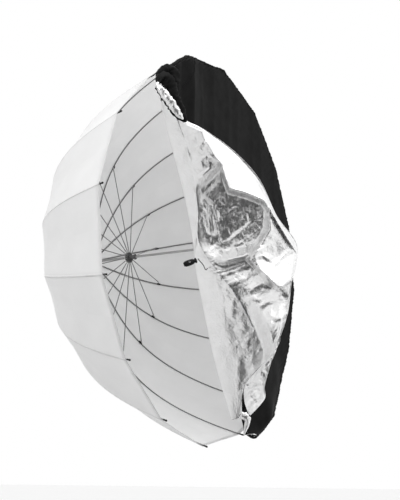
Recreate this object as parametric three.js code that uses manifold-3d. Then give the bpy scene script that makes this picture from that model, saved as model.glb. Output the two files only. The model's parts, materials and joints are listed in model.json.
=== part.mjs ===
// Deep photographic umbrella: a folding frame, its translucent canopy and a cover that can be hooked over the rim.
// Millimetres, +Z up. The shaft lies along X, with the open side of the canopy towards +X.
// The origin is on the shaft's centreline, where a lighting stand's umbrella holder grips it.
import * as THREE from "three";
import { mergeVertices } from "three/addons/utils/BufferGeometryUtils.js";
import { ConvexGeometry } from "three/addons/geometries/ConvexGeometry.js";
import Module from "manifold-3d";

const wasm = await Module();
wasm.setup();

// Driving dimensions
const ribCount = 16;
const rimRadius = 650;
const canopyDepth = 490; // crown to rim plane, along the shaft
const curveShare = 0.8165; // share of the rib's curve that is quartic, which flattens the crown
const firstRibDegrees = -5; // from +Y towards +Z
const rimX = -222; // the rim plane, behind the grip
const shaftRadius = 4;
const shaftWall = 0.8;
const shaftFront = 270; // shaft end, in front of the rim plane
const capFront = shaftFront + 4;
const hingeRadius = 14; // of both wire rings: rib hinges at the crown and stretcher hinges on the runner
const ringWireRadius = 0.6;
const hubRadius = 18;
const ribRadius = 1.75;
const stretcherRadius = 1.5;
const bladeThickness = 1.6; // flattened inner end of a rib or stretcher
const bladeHalfHeight = 2;
const jointRadius = 348.4; // where a stretcher meets its rib
const jointInset = 4; // the joint sits inside the rib, away from the fabric
const runnerHingeX = -336.4; // from the rim plane
const stretcherOffset = 5.5; // a stretcher's outer end lies beside its rib
const fabricOffset = 2.8; // rib centreline to the fabric's inner face
const canopyThickness = 1;
const coverFaceX = 11; // inner face of the cover, in front of the rim plane
const coverThickness = 2.5;
const foldRibA = 13; // the cover stays hooked over the rim from this rib on
const foldRibB = 22; // and up to this one, the long way round
const clearance = 0.3;
const turn = Math.PI / 180;

// Derived sizes
const ribStep = (2 * Math.PI) / ribCount;
const crownX = -canopyDepth;
const canopyOuterX = crownX - fabricOffset - canopyThickness;

const group = new THREE.Group();

function ribAngle(i) {
  return firstRibDegrees * turn + i * ribStep;
}

// Rib curve: distance in front of the rim plane at a radius, and its slope.
function curveX(r) {
  const u = r / rimRadius;
  return canopyDepth * ((1 - curveShare) * u ** 2 + curveShare * u ** 4 - 1);
}

function curveSlope(r) {
  const u = r / rimRadius;
  return (canopyDepth / rimRadius) * (2 * (1 - curveShare) * u + 4 * curveShare * u ** 3);
}

function curvePoint(r, inset = 0) {
  const slope = curveSlope(r);
  const scale = inset / Math.hypot(slope, 1);
  return new THREE.Vector3(curveX(r) + scale, r - slope * scale, 0);
}

function solid(geometry) {
  const bare = geometry.clone();
  bare.deleteAttribute("normal");
  bare.deleteAttribute("uv");
  const merged = mergeVertices(bare, 1e-4);
  const vertProperties = new Float32Array(merged.attributes.position.array);
  const triVerts = new Uint32Array(merged.index.array);
  return new wasm.Manifold(new wasm.Mesh({ numProp: 3, vertProperties, triVerts }));
}

function join(...geometries) {
  return geometries.map(solid).reduce((whole, part) => whole.add(part));
}

function geometryOf(body) {
  const mesh = body.getMesh();
  const geometry = new THREE.BufferGeometry();
  geometry.setAttribute("position", new THREE.BufferAttribute(new Float32Array(mesh.vertProperties), 3));
  geometry.setIndex(new THREE.BufferAttribute(new Uint32Array(mesh.triVerts), 1));
  return geometry;
}

// Adds one named piece. Its geometry is measured from the rim plane, and angle turns it about the shaft.
function add(name, geometry, look, angle = 0) {
  const [color, roughness, metalness] = look;
  const placed = geometry.clone().rotateX(angle).translate(rimX, 0, 0);
  placed.computeVertexNormals();
  const mesh = new THREE.Mesh(placed, new THREE.MeshStandardMaterial({ color, roughness, metalness }));
  mesh.name = name;
  group.add(mesh);
}

const looks = {
  rod: [0x6d6f72, 0.45, 0.3],
  shaft: [0x8a8c8f, 0.3, 0.9],
  plastic: [0x17181a, 0.5, 0],
  steel: [0xa8aaad, 0.3, 0.9],
  canopy: [0xf1f1ee, 0.8, 0],
  cover: [0x1a1b1d, 0.7, 0],
};

// A solid of revolution about X. Its [radius, x] outline runs from the back outwards, forwards and in again.
function turned(points, sides = 24) {
  const outline = points.map(([r, x]) => new THREE.Vector2(r, x));
  return new THREE.LatheGeometry(outline, sides).rotateZ(-Math.PI / 2);
}

// A washer or sleeve about X.
function sleeve(inner, outer, x0, x1, sides = 24) {
  return turned([[inner, x0], [outer, x0], [outer, x1], [inner, x1], [inner, x0]], sides);
}

function box(x0, x1, y0, y1, z0, z1) {
  const size = new THREE.BoxGeometry(x1 - x0, y1 - y0, z1 - z0);
  return size.translate((x0 + x1) / 2, (y0 + y1) / 2, (z0 + z1) / 2);
}

// A round rod along a curve.
function rod(curve, radius, steps, sides = 6) {
  const section = new THREE.Shape();
  for (let i = 0; i < sides; i++) {
    const a = (i * 2 * Math.PI) / sides;
    const x = radius * Math.cos(a);
    const y = radius * Math.sin(a);
    if (i === 0) section.moveTo(x, y);
    else section.lineTo(x, y);
  }
  return new THREE.ExtrudeGeometry(section, { steps, extrudePath: curve });
}

// The flattened end of a rib or stretcher, with its hinge hole. It runs from the origin along +X.
function blade(length) {
  const outline = new THREE.Shape();
  outline.moveTo(length, -bladeHalfHeight);
  outline.lineTo(length, bladeHalfHeight);
  outline.absarc(0, 0, bladeHalfHeight, Math.PI / 2, (3 * Math.PI) / 2, false);
  const hole = new THREE.Path();
  hole.absarc(0, 0, ringWireRadius + clearance, 0, 2 * Math.PI, true);
  outline.holes.push(hole);
  const options = { depth: bladeThickness, bevelEnabled: false, curveSegments: 3 };
  return new THREE.ExtrudeGeometry(outline, options).translate(0, 0, -bladeThickness / 2);
}

// A slotted hub with its wire ring, which is the hinge pin of every blade.
function slottedHub(hingeX, back, front) {
  const hub = solid(sleeve(shaftRadius + clearance, hubRadius, hingeX + back, hingeX + front, 32));
  const slotHalf = bladeThickness / 2 + clearance;
  const slot = box(hingeX + back - 1, hingeX + front + 1, 10.5, hubRadius + 2, -slotHalf, slotHalf);
  const ring = new THREE.TorusGeometry(hingeRadius, ringWireRadius, 6, 64).rotateY(Math.PI / 2);
  let body = hub;
  for (let i = 0; i < ribCount; i++) body = body.subtract(solid(slot.clone().rotateX(ribAngle(i))));
  return body.add(solid(ring.rotateX(ribAngle(0)).translate(hingeX, 0, 0)));
}

function ribs() {
  const bladeLength = 11;
  const start = hingeRadius + bladeLength - 1;
  const count = 12;
  const points = [];
  for (let i = 0; i <= count; i++) points.push(curvePoint(start + ((rimRadius - start) * i) / count));
  const arm = rod(new THREE.CatmullRomCurve3(points), ribRadius, 14);
  const eye = blade(bladeLength).rotateZ(Math.PI / 2).translate(crownX, hingeRadius, 0);
  const clip = box(-7, 7, -5.5, 1, -2.8, 2.8);
  clip.rotateZ(Math.atan2(1, curveSlope(jointRadius))).translate(curveX(jointRadius), jointRadius, 0);
  const rib = geometryOf(join(arm, eye, clip));
  for (let i = 0; i < ribCount; i++) add(`rib_${i + 1}`, rib, looks.rod, ribAngle(i));
}

function ribTips() {
  const bore = ribRadius + 2 * clearance; // the rib still curves inside it
  const outline = [[0, clearance], [bore, clearance], [bore, -9], [2.9, -9], [3.1, 2], [2.2, 5], [0, 6]];
  const tip = turned(outline, 8);
  tip.rotateZ(Math.atan2(1, curveSlope(rimRadius))).translate(0, rimRadius, 0);
  for (let i = 0; i < ribCount; i++) add(`rib_tip_${i + 1}`, tip, looks.plastic, ribAngle(i));
}

function stretchers() {
  const hinge = new THREE.Vector3(runnerHingeX, hingeRadius, 0);
  const outer = curvePoint(jointRadius, jointInset).setZ(stretcherOffset);
  const length = hinge.distanceTo(outer);
  const bladeLength = 12;
  const arm = rod(
    new THREE.LineCurve3(new THREE.Vector3(bladeLength - 1, 0, 0), new THREE.Vector3(length - 7, 0, 0)),
    stretcherRadius,
    1,
  );
  const end = blade(9).rotateZ(Math.PI).translate(length, 0, 0);
  const stretcher = geometryOf(join(arm, blade(bladeLength), end));
  const along = outer.clone().sub(hinge).normalize();
  stretcher.rotateY(-Math.asin(along.z)).rotateZ(Math.atan2(along.y, along.x));
  stretcher.translate(hinge.x, hinge.y, 0);
  for (let i = 0; i < ribCount; i++) add(`stretcher_${i + 1}`, stretcher, looks.rod, ribAngle(i));
}

function shaft() {
  const inner = shaftRadius - shaftWall;
  const tube = solid(sleeve(inner, shaftRadius, crownX - 12, shaftFront));
  const slot = box(-304.6, -289.4, -1.5, 1.5, 0, shaftRadius + 1);
  add("shaft", geometryOf(tube.subtract(solid(slot))), looks.shaft);
}

function crown() {
  const bore = shaftRadius + clearance;
  const top = canopyOuterX - clearance;
  add("crown_notch", geometryOf(slottedHub(crownX, -2, 11)), looks.plastic);
  const seat = crownX - 12.4;
  const outline = [[0, -515], [7, -514], [8, -506], [15, -503], [16, top], [bore, top], [bore, seat], [0, seat]];
  add("crown_cap", turned(outline), looks.plastic);
}

function runner() {
  const bore = shaftRadius + clearance;
  const back = runnerHingeX - 9.6;
  const front = -309;
  const hub = slottedHub(runnerHingeX, -5, 5);
  const tube = solid(sleeve(bore, 8, back, front));
  const flange = solid(sleeve(bore, 9.5, front - 4, front));
  add("runner", geometryOf(hub.add(tube).add(flange)), looks.plastic);
  add("stop_collar", sleeve(bore, 7, back - 6, back - 1), looks.steel);
}

function runnerCatch() {
  const outline = new THREE.Shape();
  outline.moveTo(-304, 0.9);
  outline.lineTo(-290, 0.9);
  outline.lineTo(-290, 3.4);
  outline.lineTo(-302, 7.6);
  outline.lineTo(-304, 7.6);
  const wedge = new THREE.ExtrudeGeometry(outline, { depth: 2.4, bevelEnabled: false });
  add("runner_catch", wedge.translate(0, 0, -1.2).rotateX(Math.PI / 2), looks.steel);
}

function shaftEndCap() {
  const bore = shaftRadius + clearance;
  const end = shaftFront + clearance;
  const outline = [[0, end], [bore, end], [bore, end - 14], [5.8, end - 14]];
  outline.push([6, capFront - 1], [5.5, capFront], [0, capFront]);
  add("shaft_end_cap", turned(outline), looks.plastic);
}

// One closed shell: rings of corners over the ribs, joined by flat panels.
function canopy() {
  const centreRadius = 7;
  const edgeRadius = rimRadius - 4;
  const rings = 18;
  const spread = 75 * turn; // sets the rings closer together towards the rim, where the curve is strongest
  const inner = [];
  const outer = [];
  for (let i = 0; i <= rings; i++) {
    const share = Math.sin((i / rings) * spread) / Math.sin(spread);
    const r = centreRadius + (edgeRadius - centreRadius) * share;
    const near = curvePoint(r, -fabricOffset);
    const far = curvePoint(r, -fabricOffset - canopyThickness);
    inner.push([near.y, near.x]);
    outer.push([far.y, far.x]);
  }
  const shell = turned([...outer, ...inner.reverse(), outer[0]], ribCount);
  add("canopy", shell.rotateX(ribAngle(0)), looks.canopy);
}

// A flat shape in the plane across the shaft, drawn as (y, z) and thickened along X.
function acrossShaft(outline, x0, x1) {
  const slab = new THREE.ExtrudeGeometry(outline, { depth: x1 - x0, bevelEnabled: false });
  const turnIntoPlace = new THREE.Matrix4().makeBasis(
    new THREE.Vector3(0, 1, 0),
    new THREE.Vector3(0, 0, 1),
    new THREE.Vector3(1, 0, 0),
  );
  return slab.applyMatrix4(turnIntoPlace).translate(x0, 0, 0);
}

function rimPoints(radius) {
  const points = [];
  for (let i = foldRibA; i <= foldRibB; i += 0.5) {
    points.push(new THREE.Vector2(radius * Math.cos(ribAngle(i)), radius * Math.sin(ribAngle(i))));
  }
  return points;
}

// A thin plate on three corners, thickened away from the shaft towards -Y.
function plate(...corners) {
  const behind = corners.map((p) => p.clone().add(new THREE.Vector3(0, -coverThickness, 0)));
  return new ConvexGeometry([...corners, ...behind]);
}

// The cover: its far part is hooked over the rim, and its near part is folded back and hangs over the shaft.
function cover() {
  const hemRadius = rimRadius + 10.5;
  const front = coverFaceX + coverThickness;
  const face = new THREE.Shape(rimPoints(hemRadius));
  const hole = new THREE.Path();
  hole.absarc(0, 0, hingeRadius, 0, 2 * Math.PI, true);
  face.holes.push(hole);
  const hem = new THREE.Shape([...rimPoints(hemRadius), ...rimPoints(hemRadius - coverThickness).reverse()]);
  const chord = [foldRibA, foldRibB].map((i) => {
    const r = rimRadius - 2;
    return new THREE.Vector3(coverFaceX + 1, r * Math.cos(ribAngle(i)), r * Math.sin(ribAngle(i)));
  });
  const [low, high] = chord;
  const level = high.clone().lerp(low, high.z / (high.z - low.z)); // where the fold passes the shaft
  const peak = new THREE.Vector3(capFront + 15, -8, 14);
  const drop = new THREE.Vector3(capFront - 46, -40, -290);
  const parts = [
    acrossShaft(face, coverFaceX, front),
    acrossShaft(hem, -12, front),
    plate(high, level, peak),
    plate(level, drop, peak),
    plate(level, low, drop),
  ];
  add("cover", geometryOf(join(...parts)), looks.cover);
}

// The cover's cord lock hangs by the fold, with its cord running into the fabric.
function cordLock() {
  const centre = new THREE.Vector3(18, -192, -88);
  const along = new THREE.Vector3(0.82, 0.46, 0.34).normalize();
  const place = new THREE.Matrix4().makeRotationFromQuaternion(
    new THREE.Quaternion().setFromUnitVectors(new THREE.Vector3(1, 0, 0), along),
  );
  place.setPosition(centre);
  const crossHole = new THREE.CylinderGeometry(2.2, 2.2, 24, 10);
  const barrelOutline = [[0, -20], [7, -20], [9, -17], [9, 12], [6.5, 12], [6.5, -12], [0, -12]];
  const barrel = solid(turned(barrelOutline, 16)).subtract(solid(crossHole));
  add("cord_lock_barrel", geometryOf(barrel).applyMatrix4(place), looks.plastic);
  const plungerOutline = [[0, -6], [6.2, -6], [6.2, 17.5], [8.5, 17.5], [8.5, 21], [7, 23], [0, 23]];
  const plunger = solid(turned(plungerOutline, 16)).subtract(solid(crossHole));
  add("cord_lock_plunger", geometryOf(plunger).applyMatrix4(place), looks.plastic);
}

function drawstring() {
  const path = new THREE.CatmullRomCurve3([
    new THREE.Vector3(40, -180, -76),
    new THREE.Vector3(47, -160, -92),
    new THREE.Vector3(43, -136, -103),
    new THREE.Vector3(40, -118, -96),
  ]);
  add("drawstring", rod(path, 1.5, 12, 8), looks.cover);
}

shaft();
crown();
ribs();
ribTips();
stretchers();
runner();
runnerCatch();
shaftEndCap();
canopy();
cover();
cordLock();
drawstring();

export default group;
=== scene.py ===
"""Deep photographic umbrella with its two-sided cover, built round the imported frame.

Metres, with +X out of the open side. The cover's flap is drawn in millimetres.
"""
import json
import math

import bmesh
import bpy
from mathutils import Matrix, Vector, noise
from mathutils.bvhtree import BVHTree


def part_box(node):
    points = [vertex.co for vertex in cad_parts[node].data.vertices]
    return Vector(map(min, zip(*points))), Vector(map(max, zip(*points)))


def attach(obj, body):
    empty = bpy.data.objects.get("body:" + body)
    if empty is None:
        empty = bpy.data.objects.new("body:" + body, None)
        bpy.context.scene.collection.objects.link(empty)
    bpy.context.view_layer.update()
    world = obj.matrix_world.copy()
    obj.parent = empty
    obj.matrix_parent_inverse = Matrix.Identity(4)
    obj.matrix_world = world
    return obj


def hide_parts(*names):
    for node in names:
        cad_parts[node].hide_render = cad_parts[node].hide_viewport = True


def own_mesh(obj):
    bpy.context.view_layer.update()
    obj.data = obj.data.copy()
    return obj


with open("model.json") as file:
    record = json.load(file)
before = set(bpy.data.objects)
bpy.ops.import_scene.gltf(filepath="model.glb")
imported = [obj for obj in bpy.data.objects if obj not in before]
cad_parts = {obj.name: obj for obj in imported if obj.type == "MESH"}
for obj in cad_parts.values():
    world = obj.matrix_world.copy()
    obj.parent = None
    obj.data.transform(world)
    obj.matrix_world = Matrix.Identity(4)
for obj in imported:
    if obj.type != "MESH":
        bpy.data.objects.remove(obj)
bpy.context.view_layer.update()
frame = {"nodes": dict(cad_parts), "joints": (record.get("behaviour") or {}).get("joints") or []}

# mathutils draws its vector noise, which bends the flap's creases, from a seed
CREASE_SEED = 1794928452
noise.seed_set(CREASE_SEED)

# Sizes, from the frame where it states them
JOINTS = {j["name"]: j for j in frame["joints"]}
RIBS = sum(name.startswith("rib_fold_") for name in JOINTS)
STEP = 2 * math.pi / RIBS
RIM_RADIUS = 0.650
GRIP_TO_RIM = 0.222  # the rim plane is this far behind the origin
RIM_X = -GRIP_TO_RIM
RIM_CENTRE = Vector((RIM_X, 0, 0))
CROWN_X = JOINTS["rib_fold_1"]["pos_m"][0]
DEPTH = RIM_X - CROWN_X
CURVE_SHARE = 0.8165  # share of the rib's curve that is quartic
HINGE_RADIUS = math.hypot(*JOINTS["rib_fold_1"]["pos_m"][1:])
RUNNER_X = JOINTS["stretcher_fold_1"]["pos_m"][0]
JOINT_RADIUS = 0.3484  # where the stretchers meet the ribs
JOINT_INSET = 0.004
STRETCHER_SIDE = 0.0055  # the stretchers' outer ends lie beside the ribs
RIB_RADIUS = 0.00175
STRETCHER_RADIUS = 0.0015
SHAFT_RADIUS = 0.004
FABRIC_GAP = 0.0024  # rib centreline to the canopy
ROD_START = 0.024  # the ribs' rods begin this far from the shaft's axis
HUB_RADIUS = 0.018


def rib_angle(i):
    """Angle of rib i (1 to RIBS, or beyond on a second turn) from +Y towards +Z."""
    axis = JOINTS["rib_fold_1"]["axis"]
    return math.atan2(axis[1], -axis[2]) + (i - 1) * STEP


def curve_x(r):
    u = r / RIM_RADIUS
    return RIM_X + DEPTH * ((1 - CURVE_SHARE) * u**2 + CURVE_SHARE * u**4 - 1)


def curve_slope(r):
    u = r / RIM_RADIUS
    return DEPTH / RIM_RADIUS * (2 * (1 - CURVE_SHARE) * u + 4 * CURVE_SHARE * u**3)


def curve_point(r, inset=0.0):
    """A point on a rib at angle 0, moved inwards off the rib by inset."""
    slope = curve_slope(r)
    scale = inset / math.hypot(slope, 1)
    return Vector((curve_x(r) + scale, r - slope * scale, 0))


def about_shaft(p, angle):
    """p turned about the shaft."""
    c, s = math.cos(angle), math.sin(angle)
    return Vector((p[0], p[1] * c - p[2] * s, p[1] * s + p[2] * c))


# The cover's hem pulls the tips of these ribs towards the shaft
TIP_PULLS = {1: 0.036, 2: 0.044, 3: 0.040, 4: 0.020, 5: 0.012,
             6: 0.022, 7: 0.043, 8: 0.016, 14: 0.016, 16: 0.030}


def tip_pull(i):
    return TIP_PULLS.get((i - 1) % RIBS + 1, 0.0)


def pulled(p):
    """A point of the frame or the canopy, moved in towards the shaft by the cover's hem."""
    r = math.hypot(p.y, p.z)
    place = (math.atan2(p.z, p.y) - rib_angle(1)) / STEP
    i, share = math.floor(place) + 1, place % 1
    past_joint = max(r - JOINT_RADIUS, 0) / (RIM_RADIUS - JOINT_RADIUS)
    pull = (tip_pull(i) * (1 - share) + tip_pull(i + 1) * share) * past_joint**2
    return Vector((p.x, p.y * (1 - pull / r), p.z * (1 - pull / r))) if r > 0 else Vector(p)


def linked(name, data):
    """A new object, put into the scene."""
    made = bpy.data.objects.new(name, data)
    bpy.context.scene.collection.objects.link(made)
    return made


def aim(thing, direction):
    """Turns a camera or a lamp to look in a direction."""
    thing.rotation_euler = direction.to_track_quat("-Z", "Y").to_euler()


# ---------------------------------------------------------------- camera


def make_camera():
    data = bpy.data.cameras.new("camera")
    data.lens = 70.7
    data.sensor_width = 36
    data.clip_end = 60
    camera = linked("camera", data)
    camera.location = RIM_CENTRE + RIM_RADIUS * Vector((2.331, -4.289, -1.083))
    aim(camera, Vector((-0.4791, 0.8514, 0.2139)))
    bpy.context.scene.camera = camera


make_camera()


# ---------------------------------------------------------------- materials


def set_sockets(node, sockets):
    for socket, value in sockets.items():
        node.inputs[socket.replace("_", " ")].default_value = value


class Nodes:
    """A node tree, with short ways to add to it."""

    def __init__(self, owner):
        owner.use_nodes = True
        self.tree = owner.node_tree

    def node(self, kind, **sockets):
        made = self.tree.nodes.new("ShaderNode" + kind)
        set_sockets(made, sockets)
        return made

    def link(self, source, target):
        self.tree.links.new(source, target)

    def ramp(self, value, low, high, start=0.3, end=0.7):
        """Greys from low to high as value goes from start to end."""
        ramp = self.node("ValToRGB")
        for stop, position, tone in zip(ramp.color_ramp.elements, (start, end), (low, high)):
            stop.position = position
            stop.color = colour(tone)
        self.link(value, ramp.inputs["Fac"])
        return ramp.outputs["Color"]


class Look(Nodes):
    """One node material, with what most of these materials share."""

    def __init__(self, name, **sockets):
        self.material = bpy.data.materials.new(name)
        super().__init__(self.material)
        self.shader = self.tree.nodes["Principled BSDF"]
        set_sockets(self.shader, sockets)

    def position(self, scale=(1, 1, 1)):
        """Object coordinates, in metres, stretched by scale."""
        mapping = self.node("Mapping", Scale=scale)
        self.link(self.node("TexCoord").outputs["Object"], mapping.inputs["Vector"])
        return mapping.outputs["Vector"]

    def noise(self, scale, detail=3, stretch=(1, 1, 1)):
        texture = self.node("TexNoise", Scale=scale, Detail=detail)
        self.link(self.position(stretch), texture.inputs["Vector"])
        return texture.outputs["Fac"]

    def wave(self, place, direction, **sockets):
        """Stripes across a direction of place."""
        texture = self.node("TexWave", **sockets)
        texture.bands_direction = direction
        self.link(place, texture.inputs["Vector"])
        return texture.outputs["Fac"]

    def set(self, socket, output):
        self.link(output, self.shader.inputs[socket])

    def let_light_through(self, cloth, share):
        """Mixes the translucent node cloth into the surface."""
        mix = self.node("MixShader", Fac=share)
        self.link(self.shader.outputs["BSDF"], mix.inputs[1])
        self.link(cloth.outputs["BSDF"], mix.inputs[2])
        self.link(mix.outputs["Shader"], self.tree.nodes["Material Output"].inputs["Surface"])

    def bump(self, height, strength, distance, under=None):
        bump = self.node("Bump", Strength=strength, Distance=distance)
        self.link(height, bump.inputs["Height"])
        if under is not None:
            self.link(under, bump.inputs["Normal"])
        return bump.outputs["Normal"]


def colour(tone):
    return (tone, tone, tone, 1)


def weave_height(look, threads_per_metre):
    """Two crossed sets of threads, drawn in the piece's own flat coordinates."""
    place = look.node("UVMap").outputs["UV"]
    both = look.node("Math")
    both.operation = "MULTIPLY"
    for direction, factor in zip("XY", both.inputs):
        look.link(look.wave(place, direction, Scale=threads_per_metre / 2, Distortion=0.4), factor)
    return both.outputs["Value"]


def rod_material():
    look = Look("glass_fibre_rod", Roughness=0.4, Metallic=0.0)
    grain = look.noise(900, 2, (0.05, 1, 1))
    look.set("Base Color", look.ramp(grain, 0.17, 0.26))
    look.set("Roughness", look.ramp(look.noise(60), 0.32, 0.5))
    look.set("Normal", look.bump(grain, 0.2, 0.0002))
    return look.material


def steel_material(name="satin_steel", tone=0.55, roughness=0.3):
    look = Look(name, Metallic=1.0, Roughness=roughness)
    streaks = look.noise(700, 3, (0.02, 1, 1))
    look.set("Base Color", look.ramp(streaks, tone * 0.9, tone * 1.08))
    look.set("Roughness", look.ramp(look.noise(45), roughness - 0.06, roughness + 0.1))
    look.set("Normal", look.bump(streaks, 0.12, 0.0002))
    return look.material


def plastic_material(name, dark, light):
    look = Look(name, Roughness=0.42, Specular_IOR_Level=0.2)
    grain = look.noise(1400, 2)
    look.set("Base Color", look.ramp(look.noise(80), dark, light))
    look.set("Roughness", look.ramp(look.noise(120), 0.36, 0.5))
    look.set("Normal", look.bump(grain, 0.25, 0.0002))
    return look.material


def canopy_material():
    """Thin white nylon: part of the light comes through it."""
    look = Look("translucent_white_nylon", Roughness=0.62, Sheen_Weight=0.15)
    tone = look.ramp(look.noise(9, 4), 0.76, 0.80)
    look.set("Base Color", tone)
    weave = look.bump(weave_height(look, 1800), 0.06, 0.0001)
    ripple = look.bump(look.noise(14, 3), 0.12, 0.004, weave)
    look.set("Normal", ripple)
    through = look.node("BsdfTranslucent")
    look.link(tone, through.inputs["Color"])
    look.link(ripple, through.inputs["Normal"])
    look.let_light_through(through, 0.38)
    return look.material


def seam_material():
    """Doubled nylon, stitched along its middle."""
    look = Look("stitched_white_seam", Roughness=0.7)
    look.set("Base Color", look.ramp(look.noise(40), 0.74, 0.8))
    stitches = look.wave(look.node("UVMap").outputs["UV"], "Y", Scale=160.0, Distortion=0.3)
    look.set("Normal", look.bump(stitches, 0.3, 0.0004))
    look.let_light_through(look.node("BsdfTranslucent", Color=colour(0.7)), 0.2)
    return look.material


def black_cloth_material():
    look = Look("black_woven_cloth", Roughness=0.75, Specular_IOR_Level=0.07)
    look.set("Base Color", look.ramp(look.noise(30, 4), 0.007, 0.012))
    weave = look.bump(weave_height(look, 1400), 0.1, 0.00012)
    look.set("Normal", look.bump(look.noise(55, 4), 0.25, 0.002, weave))
    return look.material


def crinkle_height(look):
    """Fine sharp creases in a coated cloth."""
    cells = look.node("TexVoronoi", Scale=70.0)
    cells.feature = "DISTANCE_TO_EDGE"
    wobble = look.node("TexNoise", Scale=22.0, Detail=3)
    place = look.position()
    look.link(place, wobble.inputs["Vector"])
    shifted = look.node("VectorMath")
    shifted.operation = "MULTIPLY_ADD"
    shifted.inputs[1].default_value = (0.05, 0.05, 0.05)
    look.link(wobble.outputs["Color"], shifted.inputs[0])
    look.link(place, shifted.inputs[2])
    look.link(shifted.outputs["Vector"], cells.inputs["Vector"])
    return cells.outputs["Distance"]


def silver_cloth_material():
    look = Look("silver_coated_cloth", Metallic=1.0, Roughness=0.34)
    crease = crinkle_height(look)
    look.set("Base Color", look.ramp(look.noise(26, 5), 0.94, 1.0))
    look.set("Roughness", look.ramp(look.noise(60, 4), 0.28, 0.4))
    fine = look.bump(crease, 0.6, 0.002)
    look.set("Normal", look.bump(look.noise(150, 4), 0.5, 0.0018, fine))
    return look.material


def cord_material():
    look = Look("braided_black_cord", Roughness=0.7, Sheen_Weight=0.2)
    braid = look.wave(look.position(), "DIAGONAL", Scale=260.0, Distortion=1.5)
    look.set("Base Color", look.ramp(braid, 0.02, 0.06))
    look.set("Normal", look.bump(braid, 0.5, 0.0005))
    return look.material


ROD = rod_material()
STEEL = steel_material()
SHAFT_STEEL = steel_material("shaft_steel", 0.42, 0.34)
PLASTIC = plastic_material("moulded_black_plastic", 0.012, 0.02)
HUB_PLASTIC = plastic_material("moulded_grey_plastic", 0.12, 0.16)
CANOPY = canopy_material()
BLACK = black_cloth_material()
SILVER = silver_cloth_material()
CORD = cord_material()
SEAM = seam_material()


# ---------------------------------------------------------------- shapes


class Shape:
    """Collects the surfaces of one piece, each with its material's index."""

    def __init__(self):
        self.verts, self.faces, self.slots = [], [], []

    def add(self, verts, faces, slot=0):
        base = len(self.verts)
        self.verts += [tuple(v) for v in verts]
        self.faces += [[base + i for i in face] for face in faces]
        self.slots += [slot] * len(faces)
        return self

    def mesh(self, name, materials, sharp=35):
        mesh = bpy.data.meshes.new(name)
        mesh.from_pydata(self.verts, [], self.faces)
        for material in materials:
            mesh.materials.append(material)
        mesh.polygons.foreach_set("material_index", self.slots)
        mesh.polygons.foreach_set("use_smooth", [True] * len(self.faces))
        if sharp:
            mesh.set_sharp_from_angle(angle=math.radians(sharp))
        mesh.update()
        return mesh


def place(name, mesh, body, angle=0.0):
    piece = linked(name, mesh)
    piece.rotation_euler.x = angle
    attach(piece, body)
    return piece


def ring_faces(rings, sides):
    """The faces along a tube of rings of points, with both ends closed."""
    faces = []
    for i in range(rings - 1):
        for k in range(sides):
            a, b = i * sides + k, i * sides + (k + 1) % sides
            faces.append([a, b, b + sides, a + sides])
    faces.append(list(range(sides))[::-1])
    faces.append([(rings - 1) * sides + k for k in range(sides)])
    return faces


def fitted(name, shape, materials, body, node, sharp=35):
    """Places a piece that stands for a CAD node."""
    piece = place(name, shape.mesh(name, materials, sharp), body)
    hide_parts(node)
    return piece


def tube(path, radius, sides=12):
    """A round rod along path, with closed ends. radius is one number, or one for each point."""
    path = [Vector(p) for p in path]
    radii = radius if isinstance(radius, (list, tuple)) else [radius] * len(path)
    verts, side = [], None
    for i, p in enumerate(path):
        along = (path[min(i + 1, len(path) - 1)] - path[max(i - 1, 0)]).normalized()
        if side is None:
            side = along.orthogonal().normalized()
        side = (side - along * side.dot(along)).normalized()
        other = along.cross(side)
        for k in range(sides):
            a = 2 * math.pi * k / sides
            verts.append(p + radii[i] * (side * math.cos(a) + other * math.sin(a)))
    return verts, ring_faces(len(path), sides)


def hoop(x, radius, wire, steps, sides):
    """A ring of round wire about the shaft."""
    turns = [2 * math.pi * k / steps for k in range(steps + 1)]
    return tube([(x, radius * math.cos(a), radius * math.sin(a)) for a in turns], wire, sides)


def lathe(outline, sides=48):
    """A solid turned about X, from (radius, x) points run from the back outwards, forwards and in.

    An outline that begins or ends at radius 0 closes on the axis.
    """
    verts, rows = [], []
    for r, x in outline:
        if r == 0:
            rows.append([len(verts)] * sides)
            verts.append((x, 0, 0))
        else:
            rows.append([len(verts) + k for k in range(sides)])
            for k in range(sides):
                a = 2 * math.pi * k / sides
                verts.append((x, r * math.cos(a), r * math.sin(a)))
    if outline[0] == outline[-1]:
        rows[-1] = rows[0]
        verts = verts[:-sides]
    faces = []
    for low, high in zip(rows, rows[1:]):
        for k in range(sides):
            j = (k + 1) % sides
            ring = [low[k], high[k], high[j], low[j]]
            faces.append(list(dict.fromkeys(ring)))
    return verts, faces


def block(length, height, width, bevel):
    """A bar along X with rounded edges, centred on the origin."""
    bm = bmesh.new()
    bmesh.ops.create_cube(bm, size=1)
    bmesh.ops.scale(bm, vec=(length, height, width), verts=bm.verts)
    bmesh.ops.bevel(bm, geom=bm.edges[:], offset=bevel, segments=3, affect="EDGES")
    verts = [v.co.copy() for v in bm.verts]
    faces = [[v.index for v in f.verts] for f in bm.faces]
    bm.free()
    return verts, faces


def moved(shape, matrix):
    verts, faces = shape
    return [matrix @ Vector(v) for v in verts], faces


# ---------------------------------------------------------------- shaft and hubs


def make_shaft():
    start, end = (corner.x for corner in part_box("shaft"))
    r, bevel = SHAFT_RADIUS, 0.0005
    outline = [(0, start), (r - bevel, start), (r, start + bevel)]
    outline += [(r, end - bevel), (r - bevel, end), (0, end)]
    fitted("shaft_tube", Shape().add(*lathe(outline, 40)), [SHAFT_STEEL], "frame", "shaft")


def rounded(outline, radius=0.0006):
    """Cuts each corner of an outline that doesn't lie on the axis."""
    points = [Vector((x, r)) for r, x in outline]
    result = [outline[0]]
    for before, here, after in zip(points, points[1:], points[2:]):
        for other in (before, after):
            step = min(radius, (other - here).length * 0.4)
            cut = here + (other - here).normalized() * step
            result.append((cut.y, cut.x))
    return result + [outline[-1]]


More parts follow.
